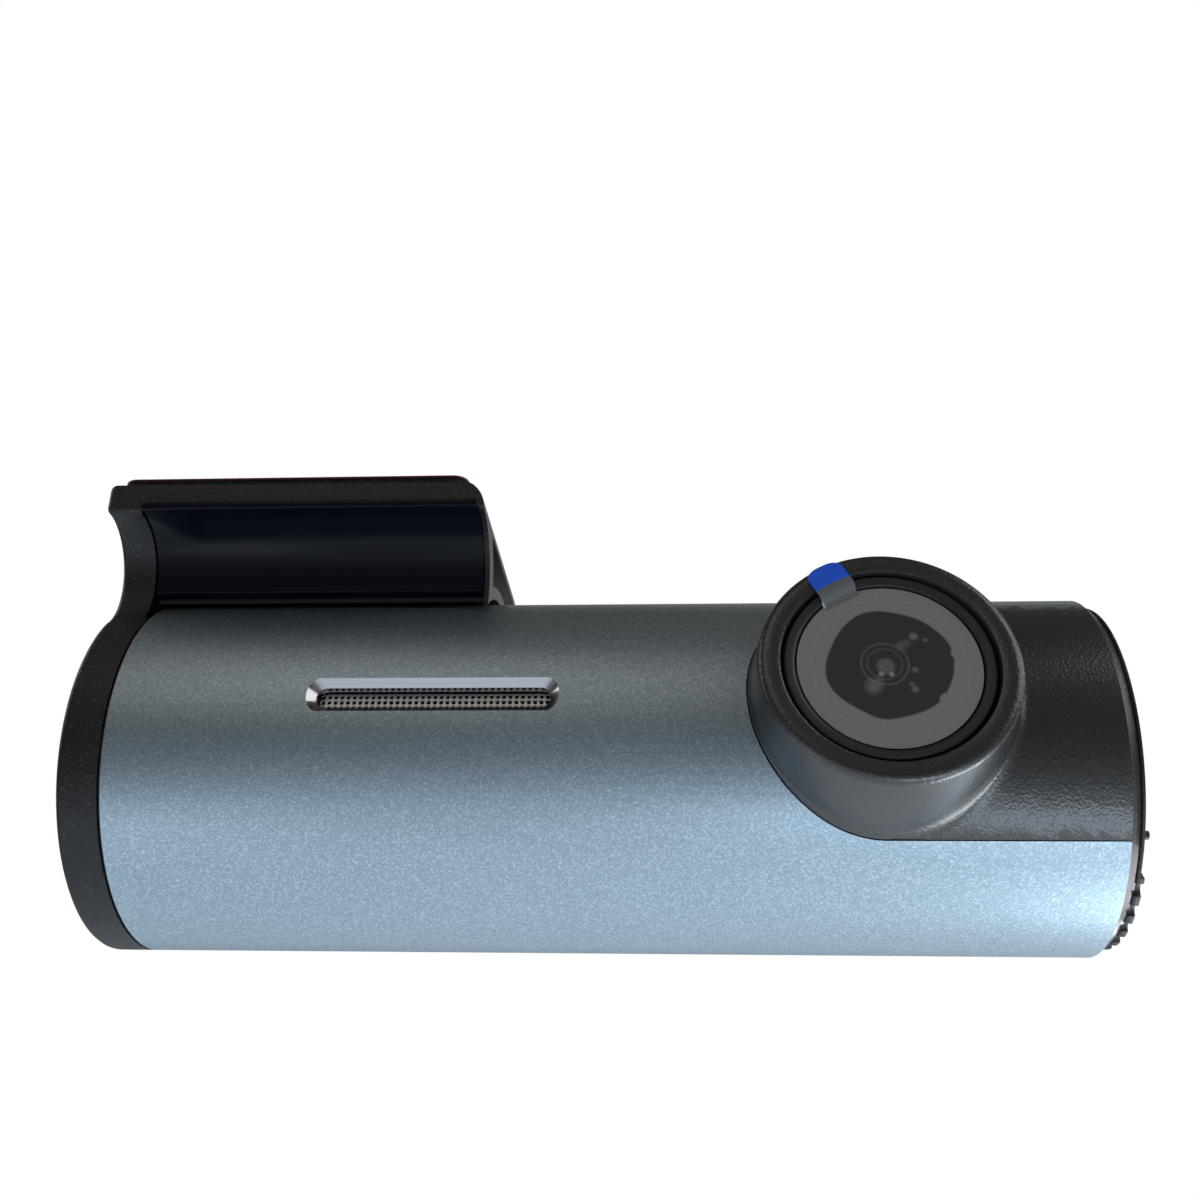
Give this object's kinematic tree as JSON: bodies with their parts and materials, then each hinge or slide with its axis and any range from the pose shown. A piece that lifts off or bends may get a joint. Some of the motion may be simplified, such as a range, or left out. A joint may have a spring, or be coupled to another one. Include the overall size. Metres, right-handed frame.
{
  "type": "dash camera",
  "caption": "Tube-shaped dash camera with a raised wide-angle lens, tilting in an arm that slides on a stick-on windscreen plate.",
  "frame": {"origin": "centre of the adhesive pad's outer face, on the release liner", "axes": "+Z out of the pad towards the windscreen, +X along the body from the arm to the lens end, lens towards -Y"},
  "size_m": [0.1005, 0.0431, 0.0458],
  "materials": {
    "anodised_shell": "fine sparkle satin anodised",
    "grained_black": "fine spark-eroded grain",
    "gloss_black": "polished",
    "trim_black": "satin",
    "inner_plastic": "plain moulded",
    "cover_glass": "polished",
    "lens_glass": "coated",
    "clear_film": "hazy thin film",
    "blue_tab": "printed film",
    "seal_rubber": "matt",
    "black_metal": "blackened",
    "bright_steel": "plated",
    "mesh_steel": "perforated",
    "plain_aluminium": "milled",
    "circuit_board": "solder mask",
    "chip_black": "moulded package",
    "thermal_grey": "soft pad",
    "capacitor_blue": "shrink sleeve",
    "flex_amber": "polyimide film",
    "bearing_plastic": "acetal",
    "light_guide": "frosted",
    "foam_black": "closed-cell foam tape",
    "liner_red": "siliconised film"
  },
  "bodies": {
    "windscreen_mount": {"windscreen_plate": "grained_black", "foam_pad": "foam_black", "release_liner": "liner_red"},
    "arm": {"arm": "grained_black", "neck_panel": "gloss_black", "pivot_bush": "bearing_plastic", "hub_cover": "gloss_black"},
    "camera": {"shell": "anodised_shell", "lens_housing": "grained_black", "lens_ring": "trim_black", "window_gasket": "seal_rubber", "lens_window": "cover_glass", "lens_film": "clear_film", "pull_tab": "blue_tab", "lens_baffle": "trim_black", "lens_barrel": "black_metal", "front_element": "lens_glass", "rear_element": "lens_glass", "lens_holder": "trim_black", "image_sensor": "chip_black", "sensor_board": "circuit_board", "sensor_flex": "flex_amber", "main_board": "circuit_board", "processor": "chip_black", "thermal_pad": "thermal_grey", "heat_spreader": "plain_aluminium", "supercapacitors": "capacitor_blue", "wifi_module": "bright_steel", "wifi_antenna": "flex_amber", "microphone": "bright_steel", "speaker_mesh": "mesh_steel", "speaker_gasket": "seal_rubber", "speaker_driver": "chip_black", "card_socket": "bright_steel", "usb_socket": "bright_steel", "port_panel": "trim_black", "inner_chassis": "inner_plastic", "left_plug": "inner_plastic", "pivot_spindle": "bright_steel", "wave_washer": "bright_steel", "pivot_screw": "bright_steel", "right_end_cap": "grained_black", "light_ring": "light_guide", "status_led": "light_guide", "button_board": "circuit_board", "tact_switch": "chip_black", "case_screws": "bright_steel", "board_screws": "bright_steel"},
    "button": {"power_button": "trim_black", "switch_plunger": "bearing_plastic"},
    "card": {"memory_card": "chip_black"}
  },
  "joints": [
    {"name": "arm_slide", "type": "slide", "parent": "windscreen_mount", "child": "arm", "axis": [-1, 0, 0], "range_m": [0, 0.032]},
    {"name": "camera_tilt", "type": "hinge", "parent": "arm", "child": "camera", "pos_m": [0, 0.0036, -0.02777], "axis": [-1, 0, 0], "range_deg": [-40, 50]},
    {"name": "power_button_press", "type": "slide", "parent": "camera", "child": "button", "axis": [-1, 0, 0], "range_m": [0, 0.0004], "stiffness_N_per_m": 2000, "springref_m": -0.0004},
    {"name": "memory_card_slide", "type": "slide", "parent": "camera", "child": "card", "axis": [1, 0, 0], "range_m": [0, 0.0155]}
  ]
}
